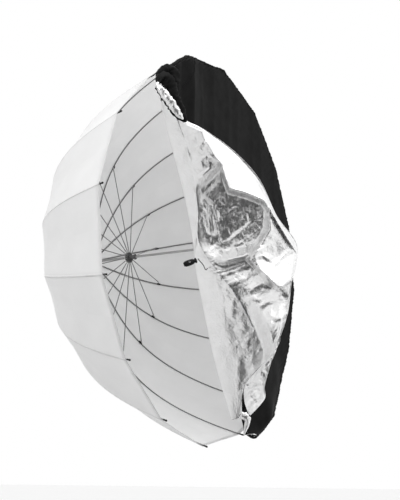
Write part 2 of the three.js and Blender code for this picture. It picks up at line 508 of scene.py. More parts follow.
def make_crown():
    x0, x1 = (corner.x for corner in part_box("crown_cap"))
    outline = [(0, x0), (0.004, x0), (0.0066, x0 + 0.003), (0.0072, x0 + 0.0085), (0.013, x0 + 0.011),
               (0.0158, x0 + 0.016), (0.0158, x1), (0, x1)]
    fitted("crown_ferrule", Shape().add(*lathe(rounded(outline, 0.0009))), [PLASTIC], "frame", "crown_cap")


def slotted_hub(x, back, front, bore):
    """A hub about X whose edge is cut by one slot for each blade."""
    half_slot, slot_floor, chamfer = 0.0011, 0.0105, 0.0006
    outer_half = STEP / 2 - half_slot / HUB_RADIUS
    inner_half = STEP / 2 - half_slot / slot_floor
    tooth = [(slot_floor, -inner_half), (HUB_RADIUS, -outer_half), (HUB_RADIUS, 0), (HUB_RADIUS, outer_half),
             (slot_floor, inner_half)]
    verts, faces, ring = [], [], []
    for i in range(RIBS):
        middle = rib_angle(1) + (i + 0.5) * STEP
        ring += [(r * math.cos(middle + a), r * math.sin(middle + a)) for r, a in tooth]
    n = len(ring)
    worn = 1 - chamfer / HUB_RADIUS
    layers = [(x + back, worn), (x + back + chamfer, 1), (x + front - chamfer, 1), (x + front, worn)]
    for lx, scale in layers:
        verts += [(lx, y * scale, z * scale) for y, z in ring]
    for layer in range(len(layers) - 1):
        for k in range(n):
            a, b = layer * n + k, layer * n + (k + 1) % n
            faces.append([a, a + n, b + n, b])
    for layer, outward in ((0, -1), (len(layers) - 1, 1)):
        start = len(verts)
        for y, z in ring:
            a = math.atan2(z, y)
            verts.append((layers[layer][0], bore * math.cos(a), bore * math.sin(a)))
        for k in range(n):
            j = (k + 1) % n
            face = [layer * n + k, layer * n + j, start + j, start + k]
            faces.append(face if outward < 0 else face[::-1])
    return verts, faces


def wire_ring(x):
    """The ring that the blades of all the ribs, or of all the stretchers, turn on."""
    return hoop(x, HINGE_RADIUS, 0.0006, 96, 8)


def make_notch():
    shape = Shape().add(*slotted_hub(CROWN_X, -0.0018, 0.0108, 0.0043))
    shape.add(*wire_ring(CROWN_X), 1)
    fitted("crown_hub", shape, [HUB_PLASTIC, STEEL], "frame", "crown_notch")


def make_runner():
    low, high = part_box("runner")
    bore = SHAFT_RADIUS + 0.0003
    sleeve = [(bore, low.x), (0.0076, low.x), (0.008, low.x + 0.0006), (0.0076, RUNNER_X),
              (0.0072, high.x - 0.009), (0.0078, high.x - 0.0055), (0.0095, high.x - 0.0045),
              (0.0095, high.x - 0.0008), (0.0088, high.x), (bore, high.x), (bore, low.x)]
    shape = Shape().add(*slotted_hub(RUNNER_X, -0.005, 0.005, 0.0078))
    shape.add(*lathe(sleeve))
    shape.add(*wire_ring(RUNNER_X), 1)
    fitted("runner_hub", shape, [HUB_PLASTIC, STEEL], "runner", "runner")


def make_shaft_fittings():
    low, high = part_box("stop_collar")
    bore = SHAFT_RADIUS + 0.0002
    collar = rounded([(bore, low.x), (0.007, low.x), (0.007, high.x), (bore, high.x)], 0.0007)
    fitted("stop_ring", Shape().add(*lathe(collar + [collar[0]])), [STEEL], "frame", "stop_collar")
    low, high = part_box("shaft_end_cap")
    cap = [(bore, low.x), (0.0056, low.x), (0.0062, low.x + 0.002), (0.0062, high.x - 0.002),
           (0.0045, high.x), (0, high.x)]
    fitted("end_cap", Shape().add(*lathe([cap[0]] + rounded(cap)[1:])), [PLASTIC], "frame", "shaft_end_cap")
    catch = frame["nodes"]["runner_catch"].data
    catch.materials.clear()
    catch.materials.append(STEEL)


# ---------------------------------------------------------------- ribs and stretchers


def rib_mesh():
    """The rib at angle 0: blade and ferrule, rod, clip with its pin, and tip."""
    shape = Shape()
    hinge = Vector((CROWN_X, HINGE_RADIUS, 0))
    shape.add(*blade(hinge, Vector((0, 1, 0)), 0.011), 1)
    ferrule = [curve_point(ROD_START + r) for r in (0, 0.002, 0.016, 0.018)]
    shape.add(*tube(ferrule, [0.0019, 0.0023, 0.0023, 0.0019]), 1)
    count, bunch = 48, 1.3  # the stations lie closer together towards the tip
    spread = [math.sin(k / count * bunch) / math.sin(bunch) for k in range(count + 1)]
    stations = [ROD_START + (RIM_RADIUS - ROD_START) * share for share in spread]
    shape.add(*tube([curve_point(r) for r in stations], RIB_RADIUS, 10), 0)
    turn = Matrix.Translation(curve_point(JOINT_RADIUS, 0.0021))
    turn = turn @ Matrix.Rotation(math.atan2(1, curve_slope(JOINT_RADIUS)), 4, "Z")
    shape.add(*moved(block(0.014, 0.0062, 0.0052, 0.0011), turn), 2)
    pin = curve_point(JOINT_RADIUS, JOINT_INSET)
    pin_line = [pin + Vector((0, 0, z)) for z in (0.002, 0.0021, 0.0072, 0.0073)]
    shape.add(*tube(pin_line, [0.0006, 0.0008, 0.0008, 0.0005], 10), 1)
    along = Vector((curve_slope(RIM_RADIUS), 1, 0)).normalized()
    end = curve_point(RIM_RADIUS)
    tip = [(-0.009, 0.0021), (-0.0085, 0.0027), (-0.001, 0.0026), (0.0005, 0.0031), (0.003, 0.0033),
           (0.005, 0.0024), (0.0059, 0.0008)]
    shape.add(*tube([end + along * d for d, _ in tip], [r for _, r in tip], 14), 2)
    return shape.mesh("rib", [ROD, STEEL, PLASTIC])


def blade(hinge, along, length):
    """The flattened end of a rod, with a rounded eye round its hinge."""
    across = Vector((along.y, -along.x, 0))
    outline = []
    for k in range(13):
        a = math.pi / 2 + math.pi * k / 12
        outline.append(hinge + 0.0021 * (along * math.cos(a) + across * math.sin(a)))
    outline.append(hinge + along * length - across * 0.0017)
    outline.append(hinge + along * length + across * 0.0017)
    n = len(outline)
    verts = [p + Vector((0, 0, z)) for z in (-0.0008, 0.0008) for p in outline]
    faces = [list(range(n)), [n + k for k in range(n)][::-1]]
    faces += [[k, k + n, (k + 1) % n + n, (k + 1) % n] for k in range(n)]
    return verts, faces


def stretcher_mesh():
    hinge = Vector((RUNNER_X, HINGE_RADIUS, 0))
    outer = curve_point(JOINT_RADIUS, JOINT_INSET) + Vector((0, 0, STRETCHER_SIDE))
    along = (outer - hinge).normalized()
    shape = Shape()
    flat = Vector((along.x, along.y, 0)).normalized()
    shape.add(*blade(hinge, flat, 0.013), 1)
    length = (outer - hinge).length
    stops = [0.011, 0.0118, 0.02, 0.024, length * 0.5, length - 0.02, length - 0.012, length - 0.006]
    radii = [0.0012] + [STRETCHER_RADIUS] * 6 + [0.0012]
    shape.add(*tube([hinge + along * d for d in stops], radii, 10), 0)
    shape.add(*blade(outer, -flat, 0.012), 1)
    return shape.mesh("stretcher", [ROD, STEEL])


def bent_rib(rib, i):
    """The rib's mesh, bent where the cover's hem pulls on it."""
    bent = rib.copy()
    for vertex in bent.vertices:
        vertex.co = about_shaft(pulled(about_shaft(vertex.co, rib_angle(i))), -rib_angle(i))
    return bent


def make_ribs():
    rib, stretcher = rib_mesh(), stretcher_mesh()
    for i in range(1, RIBS + 1):
        piece = place(f"rib_{i:02d}_rod", bent_rib(rib, i) if tip_pull(i) else rib, f"rib_{i}", rib_angle(i))
        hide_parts(f"rib_{i}", f"rib_tip_{i}")
        piece = place(f"stretcher_{i:02d}_rod", stretcher, f"stretcher_{i}", rib_angle(i))
        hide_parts(f"stretcher_{i}")


# ---------------------------------------------------------------- canopy

HALF_GORE = STEP / 2
CROWN_CUT = 0.0125  # the strips start just inside the hinge ring
CLOTH_EDGE = 0.646
MID_GORE_PULL = 0.013
SEAM_HALF = 0.0035
TAPE_START = 0.03
SEAM_LIFT = 0.0005
HEM_FOLD = 0.00374  # width of the hem's turned edge


def smooth_step(value, start, end):
    t = min(max((value - start) / (end - start), 0), 1)
    return t * t * (3 - 2 * t)


def cloth_point(r, phi, lift=0.0):
    """A point of the canopy at turn phi from its rib.

    The cloth runs nearly straight from rib to rib, and is pulled in a little at mid-gore.
    """
    gap = FABRIC_GAP + 0.0012 * smooth_step(r, 0.632, 0.642)
    edge = curve_point(r, -(gap + lift))
    away = abs(phi) / HALF_GORE
    flat = math.cos(HALF_GORE) / math.cos(HALF_GORE - abs(phi))
    pull = MID_GORE_PULL * math.sin(away * math.pi / 2) ** 2 * math.sin(math.pi * r / CLOTH_EDGE)
    radius = edge.y * flat * (1 - pull)
    return Vector((edge.x, radius * math.cos(phi), radius * math.sin(phi)))


def cloth_ripple(p, phi):
    """Slack of a millimetre or so between the ribs. p isn't turned, so that neighbours agree at mid-gore."""
    held = math.sin(min(abs(phi) / HALF_GORE, 1) * math.pi / 2)
    return 0.0016 * held * noise.noise(p * 8) + 0.0005 * held * noise.noise(p * 26)


def canopy_rows(count=64, bunch=1.2):
    """Radii from the crown to the edge, closer together towards the edge."""
    spread = [math.sin(bunch * k / count) / math.sin(bunch) for k in range(count + 1)]
    return [CROWN_CUT + (CLOTH_EDGE - CROWN_CUT) * share for share in spread]


def grid_faces(rows, columns, flip=False):
    faces = []
    for i in range(rows - 1):
        for k in range(columns - 1):
            a = i * columns + k
            face = [a, a + 1, a + columns + 1, a + columns]
            faces.append(face[::-1] if flip else face)
    return faces


def strip_mesh(i):
    """Half a gore on each side of rib i, the tape over its seam, and the hem."""
    angle = rib_angle(i)
    rows = canopy_rows()
    columns = [HALF_GORE * k / 12 for k in range(-12, 13)]
    lengths = [0.0]
    for low, high in zip(rows, rows[1:]):
        lengths.append(lengths[-1] + (curve_point(high) - curve_point(low)).length)

    def surface(r, phi, lift):
        p = cloth_point(r, phi, lift)
        outward = (cloth_point(r, phi, lift + 0.001) - p).normalized()
        p += outward * cloth_ripple(about_shaft(p, angle), phi)
        return about_shaft(pulled(about_shaft(p, angle)), -angle)

    shape, flat = Shape(), []

    def lay(grid, slot):
        """Adds rows of (radius, distance across the rib, lift, length along it)."""
        shape.add([surface(r, w / r, lift) for row in grid for r, w, lift, _ in row],
                  grid_faces(len(grid), len(grid[0])), slot)
        flat.extend((w, v) for row in grid for _, w, _, v in row)

    lay([[(r, r * phi, 0, v) for phi in columns] for r, v in zip(rows, lengths)], 0)
    tape = [(-1, 0.0), (-0.9, SEAM_LIFT), (0, SEAM_LIFT), (0.9, SEAM_LIFT), (1, 0.0)]
    lay([[(r, side * SEAM_HALF, lift + 0.0001, v) for side, lift in tape]
         for r, v in zip(rows, lengths) if r > TAPE_START], 1)
    hem = [(0, 0), (0.0004, -0.0004), (0, -0.0008), (-HEM_FOLD, -0.0006), (-HEM_FOLD - 0.00022, -0.0001)]
    lay([[(CLOTH_EDGE + out, (CLOTH_EDGE + out) * phi, lift, (CLOTH_EDGE + out) * 3) for phi in columns]
         for out, lift in hem], 1)
    mesh = shape.mesh(f"canopy_strip_{i:02d}", [CANOPY, SEAM], sharp=60)
    layer = mesh.uv_layers.new(name="flat")
    for loop in mesh.loops:
        layer.data[loop.index].uv = flat[loop.vertex_index]
    spans = zip(rows, rows[1:], lengths, lengths[1:])
    cut = sum(STEP * (low + high) / 2 * (end - start) for low, high, start, end in spans)
    return mesh, cut, lengths[-1]


def make_canopy():
    for i in range(1, RIBS + 1):
        mesh, area, length = strip_mesh(i)
        angle = rib_angle(i)
        strip = place(f"canopy_strip_{i:02d}", mesh, f"rib_{i}", angle)
        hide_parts("canopy")
        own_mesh(strip)
    rings = [(0.0049, -0.0021), (0.0049, -0.0027), (0.0130, -0.0027), (0.0132, -0.0024), (0.0130, -0.0021),
             (0.0049, -0.0021)]
    patch = Shape().add(*lathe([(r, CROWN_X + x) for r, x in rings]))
    fitted("crown_patch", patch, [SEAM], "frame", "canopy")


# ---------------------------------------------------------------- cover

HALF_FOLD = 78.7  # degrees of the rim from the fold's middle to its ends
FLAP_AREA = RIM_RADIUS**2 * (math.radians(HALF_FOLD) - 0.5 * math.sin(math.radians(2 * HALF_FOLD)))
# The fold runs between these two ribs, counted on round the rim
HOOKED_LOW, HOOKED_HIGH = rib_angle(RIBS - 2), rib_angle(RIBS + 7)
COVER_X = RIM_X + 0.0125


def rim_point(angle, out=0.0, x=COVER_X):
    """A point of the polygon through the rib tips."""
    place = (angle - rib_angle(1)) / STEP
    i, share = math.floor(place) + 1, place % 1
    ends = []
    for k in (i, i + 1):
        radius = RIM_RADIUS + out - tip_pull(k)
        ends.append(Vector((x, radius * math.cos(rib_angle(k)), radius * math.sin(rib_angle(k)))))
    return ends[0].lerp(ends[1], share)


# The flap is drawn in an upright plane: across it, up it, and out of it towards the near side
ACROSS = Vector((0.8715, 0.4905, 0))
OUT = Vector((0.4905, -0.8715, 0))
UP = Vector((0, 0, 1))


def flap_point(across, up, out):
    """The point that is so many millimetres from the rim's centre in the flap's plane."""
    return RIM_CENTRE + (ACROSS * across + UP * up + OUT * out) / 1000


def through(points, t):
    """A smooth curve through points, with t from 0 to 1."""
    spans = len(points) - 1
    k = min(int(t * spans), spans - 1)
    u = t * spans - k
    p = [Vector(points[min(max(k + j, 0), spans)]) for j in (-1, 0, 1, 2)]
    return 0.5 * (2 * p[1] + (p[2] - p[0]) * u + (2 * p[0] - 5 * p[1] + 4 * p[2] - p[3]) * u * u
                  + (3 * p[1] - p[0] - 3 * p[2] + p[3]) * u**3)


# (across, up, out) along the fold, from the top, and along the hem at the same shares of the way
FOLD = [(-177, 415, 331), (-155, 335, 293), (-131, 246, 250), (-106, 158, 208), (-85, 70, 165),
        (-70, -15, 124), (-60, -100, 84), (-42, -185, 43), (-24, -270, 2), (-4, -355, -38),
        (20, -440, -79), (40, -500, -108), (50, -532, -124), (58, -556, -136)]
HEM = [(-170, 420, 350), (-108, 342, 322), (-30, 305, 292), (62, 248, 254), (140, 168, 220),
       (196, 60, 180), (257, -16, 147), (257, -80, 147), (240, -150, 150), (228, -236, 148),
       (205, -310, 146), (186, -357, 140), (98, -453, 10), (92, -546, -112)]
# The facet beside the fold faces away from the rest. These are its widths, from the top
PALE_WIDTH = [20, 28, 36, 34, 24, 12, 56, 105, 135, 150, 110, 70, 34, 12]
FOLD_TURN = 8  # radius that the cloth turns round at the fold


def segment_distance(p, a, b):
    """Distance of p from the line a to b, its side (1 is above or left), and the share of the way along."""
    ax, ay = p[0] - a[0], p[1] - a[1]
    bx, by = b[0] - a[0], b[1] - a[1]
    t = min(max((ax * bx + ay * by) / (bx * bx + by * by), 0), 1)
    side = 1 if bx * ay - by * ax > 0 else -1
    return math.hypot(ax - t * bx, ay - t * by), side, t


def nearest(p, path):
    """(distance, side, share of the whole path) of the nearest point of a path."""
    found = [(*segment_distance(p, a, b), k) for k, (a, b) in enumerate(zip(path, path[1:]))]
    distance, side, t, k = min(found)
    return distance, side, (k + t) / (len(path) - 1)


def lap(p, path, height, above, below):
    """A fold that stands out along a path drawn from left to right, and falls away over two widths."""
    distance, side, share = nearest(p, path)
    width = above if side > 0 else below
    if distance >= width:
        return 0.0
    return height * (1 - distance / width) ** 1.15 * math.sin(math.pi * (0.06 + 0.88 * share)) ** 0.6


# (across, up) where the cloth rolls over below its upper hem
SHOULDER = [(-60, 344), (-34, 277), (2, 224), (22, 205), (32, 168), (44, 135), (98, 123), (150, 104),
            (168, 78)]
LAPS = [  # path, height, width above and below
    ([(-34, -74), (30, -76), (92, -60), (150, -34)], 34, 36, 12),
    ([(100, -174), (148, -145), (180, -150)], 7, 30, 14),
    ([(140, -96), (166, -136), (200, -157), (250, -122)], 34, 66, 12),
    ([(140, -216), (156, -203), (206, -188)], 4, 28, 14),
    ([(168, -236), (196, -252), (222, -244)], 5, 18, 10),
    ([(54, -292), (98, -306), (138, -322)], 9, 18, 7),
    ([(60, -188), (100, -196), (142, -194)], 7, 18, 7),
    ([(88, -262), (118, -280)], 6, 12, 6),
    ([(-62, 102), (-20, 142), (24, 188)], 9, 12, 14),
    ([(14, -26), (70, 8), (120, 46), (158, 62)], 3.5, 6, 10),
    ([(40, -34), (96, -12), (146, 30)], 3, 5, 9),
    ([(20, -22), (4, 30), (-10, 90)], 2.5, 5, 7),
    ([(-8, -112), (40, -102), (90, -84)], -4, 6, 6),
    ([(110, -70), (150, -58), (196, -84)], 8, 14, 10),
    ([(182, -92), (212, -62), (250, -34)], 6, 14, 8),
    ([(168, -346), (170, -300), (176, -244)], 17, 32, 24),
    ([(132, -330), (138, -290), (148, -236)], 6, 16, 12),
    ([(70, -352), (84, -376), (100, -396)], 9, 16, 10),
    ([(-104, 240), (-84, 200), (-76, 150)], 6, 14, 14),
    ([(-92, 300), (-78, 262), (-80, 214)], 5, 10, 12),
    ([(-86, 158), (-50, 170), (-8, 196)], 11, 6, 26),
    ([(-90, 194), (-62, 206), (-20, 232)], 10, 6, 26),
    ([(-98, 230), (-74, 242), (-34, 266)], 9, 6, 24),
    ([(-108, 266), (-84, 278), (-48, 300)], 8, 5, 22),
]


STAND = Vector((-0.014, -0.222, 1))  # the cloth droops as it stands out, so that its folds overhang


def flap_relief(p, from_crest, to_hem):
    """How far the cloth stands out at p, in mm, over the plain sheet from crest to hem."""
    distance, side, _ = nearest(p, SHOULDER)
    upper = smooth_step(p[1] - p[0], 160, 215)
    height = (84 - 24 * smooth_step(p[1], 150, 215)) * (1 - smooth_step(p[1], 330, 400))
    off_hem, off_crest = smooth_step(to_hem, 0, 16), smooth_step(from_crest, 0, 50)
    if side > 0:
        shoulder = to_hem / (to_hem + distance)
    else:
        ridge = from_crest / (from_crest + distance)
        bank = max(0.0, 1 - distance / 9) * off_crest
        shoulder = ridge * upper + bank * (1 - upper)
    above = p[1] + 62 - max(p[0] + 10, 0) * 0.24
    pocket = smooth_step(p[0], -75, -30) * (1 - smooth_step(p[0], 140, 185))
    hollow = -9 * (math.exp(-max(above, 0) / 240) if above > 0 else 1 - smooth_step(-above, 0, 16)) * pocket
    low = 60 * smooth_step(-p[1], 90, 340) * (1 - smooth_step(-p[1], 345, 450)) * smooth_step(to_hem, 0, 60)
    edge = min(100 + 0.65 * (p[1] + 70), 160) if p[1] > -70 else 30 - p[1]
    past = p[0] - edge
    swell = smooth_step(past, -6, 12) if past < 12 else to_hem / (to_hem + past - 12)
    swell *= 64 * (1 - smooth_step(p[1], 40, 90)) * smooth_step(p[1], -200, -90)
    laps = sum(lap(p, *row) for row in LAPS)
    return off_hem * (height * shoulder + off_crest * (hollow + low + swell + laps))


def facets(x, y, cell, seed):
    """Flat triangles about a cell across, each corner at its own height from -1 to 1."""
    warp = noise.noise_vector(Vector((x, y, seed * 7)) / cell * 0.6) * 0.5
    u, v = x / cell + warp.x, y / cell + warp.y
    skew = (u + v) * 0.366
    i, j = math.floor(u + skew), math.floor(v + skew)
    a, b = u + skew - i, v + skew - j

    def corner(di, dj):
        return 2 * noise.cell(Vector((i + di + 0.5, j + dj + 0.5, seed + 0.5))) - 1
    if a > b:
        return corner(0, 0) * (1 - a) + corner(1, 0) * (a - b) + corner(1, 1) * b
    return corner(0, 0) * (1 - b) + corner(0, 1) * (b - a) + corner(1, 1) * a


def crinkle(p):
    """Sharp little creases between flat facets, as a coated cloth keeps. p is in mm."""
    return 2.2 * facets(p[0], p[1], 40, 1) + 1.2 * facets(p[0], p[1], 17, 2) + 0.6 * facets(p[0], p[1], 8, 3)


def crumpled(p):
    """Share of the crinkles at p: most in the hollow and little on the taut parts."""
    distance, side, _ = nearest(p, SHOULDER)
    if side > 0:
        return 0.12 + 0.5 * (1 - smooth_step(distance, 0, 12))
    return (0.55 + 0.45 * math.exp(-((p[1] - 60) / 130) ** 2)) * (1 - 0.65 * smooth_step(p[0], 120, 170))


def flap_rows():
    """Rows of points from the panel behind, round the fold, over the crest beside it and on to the hem."""
    rows = []
    sheet_count, down_count, turn_count, pale_count = 190, 320, 10, 30
    for i in range(down_count + 1):
        t = i / down_count
        fold, hem = through(FOLD, t), through(HEM, t)
        width = through([(w, 0, 0) for w in PALE_WIDTH], t)[0]
        row = []
        for k in range(turn_count + 1):
            turn = math.radians(-90 + 155 * k / turn_count)
            row.append(fold + FOLD_TURN * Vector((1 - math.cos(turn), 0, math.sin(turn))))
        edge = row[-1]
        steepness = 0.68 - 0.22 * smooth_step(-fold.y, 60, 300)
        crest = fold + Vector((FOLD_TURN + width, 0, FOLD_TURN + width * steepness))
        for k in range(1, pale_count + 1):
            v = k / pale_count
            p = edge.lerp(crest, v)
            p.z += 0.02 * width * math.sin(math.pi * v)
            creased = (0.25 + 0.45 * smooth_step(width * v, 40, 90)) * math.sin(math.pi * v / 2)
            p.z += creased * crinkle(p) + 1.6 * noise.noise(Vector((p.x, p.y * 0.4, 0)) / 22)
            row.append(p)
        start = row[-1].copy()
        span = math.hypot(hem.x - start.x, hem.y - start.y)
        for k in range(1, sheet_count + 1):
            v = k / sheet_count
            p = start.lerp(hem, v)
            relief = flap_relief(p, v * span, (1 - v) * span)
            calmed = smooth_step(v, 0, 0.1) * (0.3 + 0.7 * smooth_step(1 - v, 0, 0.08))  # beside both edges
            relief += crinkle(p) * crumpled(p) * calmed
            row.append(p + relief * STAND)
        rows.append([flap_point(*p) for p in row])
    return rows


def cover_piece(name, solid, materials):
    return fitted(name, Shape().add(*solid), materials, "cover", "cover", sharp=0)


def silver_sheet(name, rows):
    """A sheet of the cover through rows of points, with its silver side outwards."""
    faces = grid_faces(len(rows), len(rows[0]), flip=True)
    sheet = cover_piece(name, ([p for row in rows for p in row], faces), [SILVER, BLACK])
    thicken(sheet)
    return sheet


def thicken(piece, thickness=0.0005):
    """Gives a cloth its thickness. Its back and edges take the second material."""
    shell = piece.modifiers.new("thickness", "SOLIDIFY")
    shell.thickness = thickness
    shell.offset = -1
    shell.material_offset = 1
    shell.material_offset_rim = 1


def sag_at(angle):
    """How far the panel's hem hangs slack beside its lowest corner."""
    share = (angle - HOOKED_LOW) / STEP
    return 0.046 * smooth_step(share, 0.0, 0.42) * (1 - smooth_step(share, 0.45, 1.9))


def hem_point(angle, out=0.0, x=0.0):
    p = rim_point(angle, out)
    wave = 0.003 * noise.noise(p * 14)
    return p + Vector((x, 0, -sag_at(angle))) + Vector((0, p.y, p.z)).normalized() * wave


def pleat(value, centre, width, height):
    """A tent-shaped pleat across value, steeper on its low side."""
    away = (value - centre) / (width if value > centre else width * 0.45)
    return height * max(0.0, 1 - abs(away)) ** 1.3


# Upright pleats of the panel: across the rim plane, width, height and how far down each runs, in metres
PLEATS = [(-0.195, 0.10, 0.026, 0.75), (-0.27, 0.05, 0.010, 0.35), (-0.11, 0.05, 0.003, 0.5),
          (-0.03, 0.09, 0.004, 0.55), (0.08, 0.06, 0.002, 0.5), (0.15, 0.10, 0.004, 0.6),
          (0.27, 0.05, 0.002, 0.6), (0.33, 0.10, 0.004, 0.6), (0.45, 0.06, 0.003, 0.7),
          (0.52, 0.08, 0.004, 0.8)]


def panel_point(a, b):
    """A point of the panel: a runs round the rim from its low corner, b from the fold to the rim."""
    angle = hooked_angle(a)
    rim = hem_point(angle)
    low, high = rim_point(HOOKED_LOW), rim_point(HOOKED_HIGH)
    fold = low.lerp(high, 0.5 - 0.5 * math.cos(math.pi * a))
    p = fold.lerp(rim, b)
    stand = 0.0
    for across, width, height, down in PLEATS:
        below_rim = math.sqrt(max(RIM_RADIUS**2 - p.y**2, 0)) - p.z
        fade = smooth_step(below_rim, -0.02, 0.03) * (1 - smooth_step(below_rim, down * 0.5, down))
        stand += pleat(p.y, across, width, height) * fade
    gather = smooth_step(b, 0.72, 1.0)
    stand += 0.0035 * gather * math.sin(angle * 150 + 3 * noise.noise(p * 6))
    stand += 0.006 * math.sin(math.pi * b) * noise.noise(Vector((p.y * 7, p.z * 2.5, 0)))
    slant = (p.y * 0.55 + p.z) * 9
    stand += 0.004 * math.sin(math.pi * b) * noise.noise(Vector((slant, p.y * 2, 3)))
    bag = smooth_step(-p.z, 0.22, 0.5) * math.sin(math.pi * min(b, 1))
    stand += bag * (0.03 + 0.014 * noise.noise(p * 11))
    return p + Vector((stand * math.sin(math.pi * min(b, 1)) ** 0.25, 0, 0))


SHAFT_HOLE = 0.014  # radius of the hole that the shaft goes through
SEAM_START, SEAM_END = (0.885, 1.0), (0.80, 0.1)  # the panel's seam, in panel_point's terms


def make_panel():
    """The panel, its flat area, and the binding of the shaft's hole and the seam that go with it."""
    columns, rows = 91, 241
    verts = [panel_point(a / (rows - 1), b / (columns - 1)) for a in range(rows) for b in range(columns)]
    off_axis = [math.hypot(p.y, p.z) for p in verts]
    inside = [p.x for p, r in zip(verts, off_axis) if r < SHAFT_HOLE]
    hole_x = sum(inside) / len(inside)
    for p, r in zip(verts, off_axis):
        out = max(SHAFT_HOLE / r, 1)
        flat = 1 - smooth_step(r, SHAFT_HOLE, 0.05)
        p.x, p.y, p.z = p.x + (hole_x - p.x) * flat, p.y * out, p.z * out
    faces = [face for face in grid_faces(rows, columns) if any(off_axis[i] > SHAFT_HOLE for i in face)]
    panel = cover_piece("cover_panel", (verts, faces), [BLACK, SILVER])
    thicken(panel)
    ring = hoop(hole_x - 0.0003, SHAFT_HOLE + 0.0012, 0.0022, 64, 14)
    binding = cover_piece("shaft_hole_binding", ring, [BLACK])
    seam = []
    for k in range(61):
        a, b = (start + (end - start) * k / 60 for start, end in zip(SEAM_START, SEAM_END))
        seam.append(panel_point(a, b) + Vector((0.0006, 0, 0)))
    felled = cover_piece("cover_panel_seam", tube(seam, 0.0018, 8), [BLACK])
    area = math.pi * RIM_RADIUS**2 - FLAP_AREA
    return panel, area, [binding, felled]


def ruched(path, radii, seed, flat=1.0, sides=20, step=0.003):
    """A hem gathered on its elastic: a closed tube with uneven puckers."""
    length = sum((Vector(b) - Vector(a)).length for a, b in zip(path, path[1:]))
    count = max(int(length / step), 8)
    points = [through(path, k / count) for k in range(count + 1)]
    verts = []
    for k, p in enumerate(points):
        along = (points[min(k + 1, count)] - points[max(k - 1, 0)]).normalized()
        out = Vector((1, 0, 0))
        side = (out - along * out.dot(along)).normalized()
        other = along.cross(side)
        size = through([(r, 0, 0) for r in radii], k / count)[0]
        close = math.sqrt(max(1 - (2 * k / count - 1) ** 8, 0.02))
        for j in range(sides):
            a = 2 * math.pi * j / sides
            spot = Vector((math.cos(a) * 1.3, math.sin(a) * 1.3, seed)) + Vector((0, 0, k * step * 120))
            pucker = 0.30 * noise.noise(spot) + 0.16 * noise.noise(spot * 2.3)
            r = size * close * (1 + pucker)
            verts.append(p + r * (side * math.cos(a) + other * math.sin(a) * flat))
    return verts, ring_faces(count + 1, sides)


# Gathers of the flap's hem: path, radii along it, seed, flatness and step
HIGH_HEM = [
    ([(-182, 450, 362), (-160, 440, 358), (-142, 404, 346), (-124, 372, 334), (-104, 342, 324),
      (-88, 324, 316)],
     (0.012, 0.032, 0.030, 0.025, 0.017, 0.006), 11, 0.9, 0.003),
    ([(-178, 452, 352), (-160, 470, 352), (-138, 474, 345), (-126, 430, 340)],
     (0.010, 0.020, 0.022, 0.026), 17, 0.9, 0.003),
]
GATHERED_EDGE = [
    ([(-178, 430, 372), (-164, 408, 372), (-140, 376, 362), (-116, 344, 346), (-98, 326, 330)],
     (0.006, 0.012, 0.014, 0.012, 0.004), 23, 0.8, 0.002),
]
LOW_GATHER = [
    ([(70, -540, -128), (88, -541, -124), (104, -548, -124), (110, -562, -134), (100, -606, -160)],
     (0.004, 0.012, 0.014, 0.010, 0.004), 29, 0.8, 0.002),
]


def flap_hem(name, gathers, material):
    """One piece of the flap's hem, from one or more gathered lengths in the flap's plane."""
    shape = Shape()
    for path, radii, seed, flat, step in gathers:
        shape.add(*ruched([flap_point(*p) for p in path], radii, seed, flat, step=step))
    return cover_piece(name, (shape.verts, shape.faces), [material])


def hooked_angle(share):
    """The angle at a share of the way round the hooked part of the rim, from its low corner."""
    return HOOKED_LOW + (HOOKED_HIGH - HOOKED_LOW) * share


def make_hems():
    path = [hem_point(hooked_angle(k / 144), 0.002, -0.008) for k in range(145)]
    rim = cover_piece("cover_rim_hem", ruched(path, (0.010, 0.009, 0.009, 0.010), 3, 0.75), [BLACK])
    high = flap_hem("flap_high_hem", HIGH_HEM, BLACK)
    gathered = flap_hem("flap_gathered_edge", GATHERED_EDGE, SILVER)
    return [rim, high, gathered, flap_hem("flap_low_gather", LOW_GATHER, SILVER)]


# The turned-up corner of the flap's hem: its inner and outer edges
TURN_INNER = [(187, -357, 141), (140, -405, 80), (98, -453, 12), (96, -500, -40), (112, -540, -90)]
TURN_OUTER = [(187, -358, 141), (172, -400, 118), (157, -462, 62), (158, -500, 26), (118, -546, -88)]
TURN_CREASES = [((150, -420), (120, -470), 9, 16), ((100, -470), (130, -510), 10, 14),
                ((140, -500), (110, -530), 8, 12), ((150, -470), (130, -520), -8, 12),
                ((160, -400), (130, -430), 6, 10)]


def small_crease(p, a, b, height, width):
    """A short tent-shaped crease."""
    distance, _, share = segment_distance(p, a, b)
    return height * max(0.0, 1 - distance / width) ** 1.4 * (0.4 + 0.6 * math.sin(math.pi * share))


def make_turned_corner():
    rows = []
    for i in range(91):
        inner, outer = through(TURN_INNER, i / 90), through(TURN_OUTER, i / 90)
        row = []
        for k in range(31):
            v = k / 30
            p = inner.lerp(outer, v)
            free = math.sin(math.pi * v) ** 0.7
            relief = free * (12 + sum(small_crease(p, *c) for c in TURN_CREASES) + 2.5 * crinkle(p))
            row.append(flap_point(p.x, p.y, p.z + 8 + relief))
        rows.append(row)
    return silver_sheet("flap_turned_corner", rows)


def surface_of(piece):
    """Finds the point of the flap behind (across, up), a little proud of it."""
    mesh = piece.data
    tree = BVHTree.FromPolygons([v.co for v in mesh.vertices], [p.vertices for p in mesh.polygons])

    def find(across, up, proud):
        hit = tree.ray_cast(flap_point(across, up, 900), -OUT)[0]
        return hit + OUT * proud / 1000
    return find


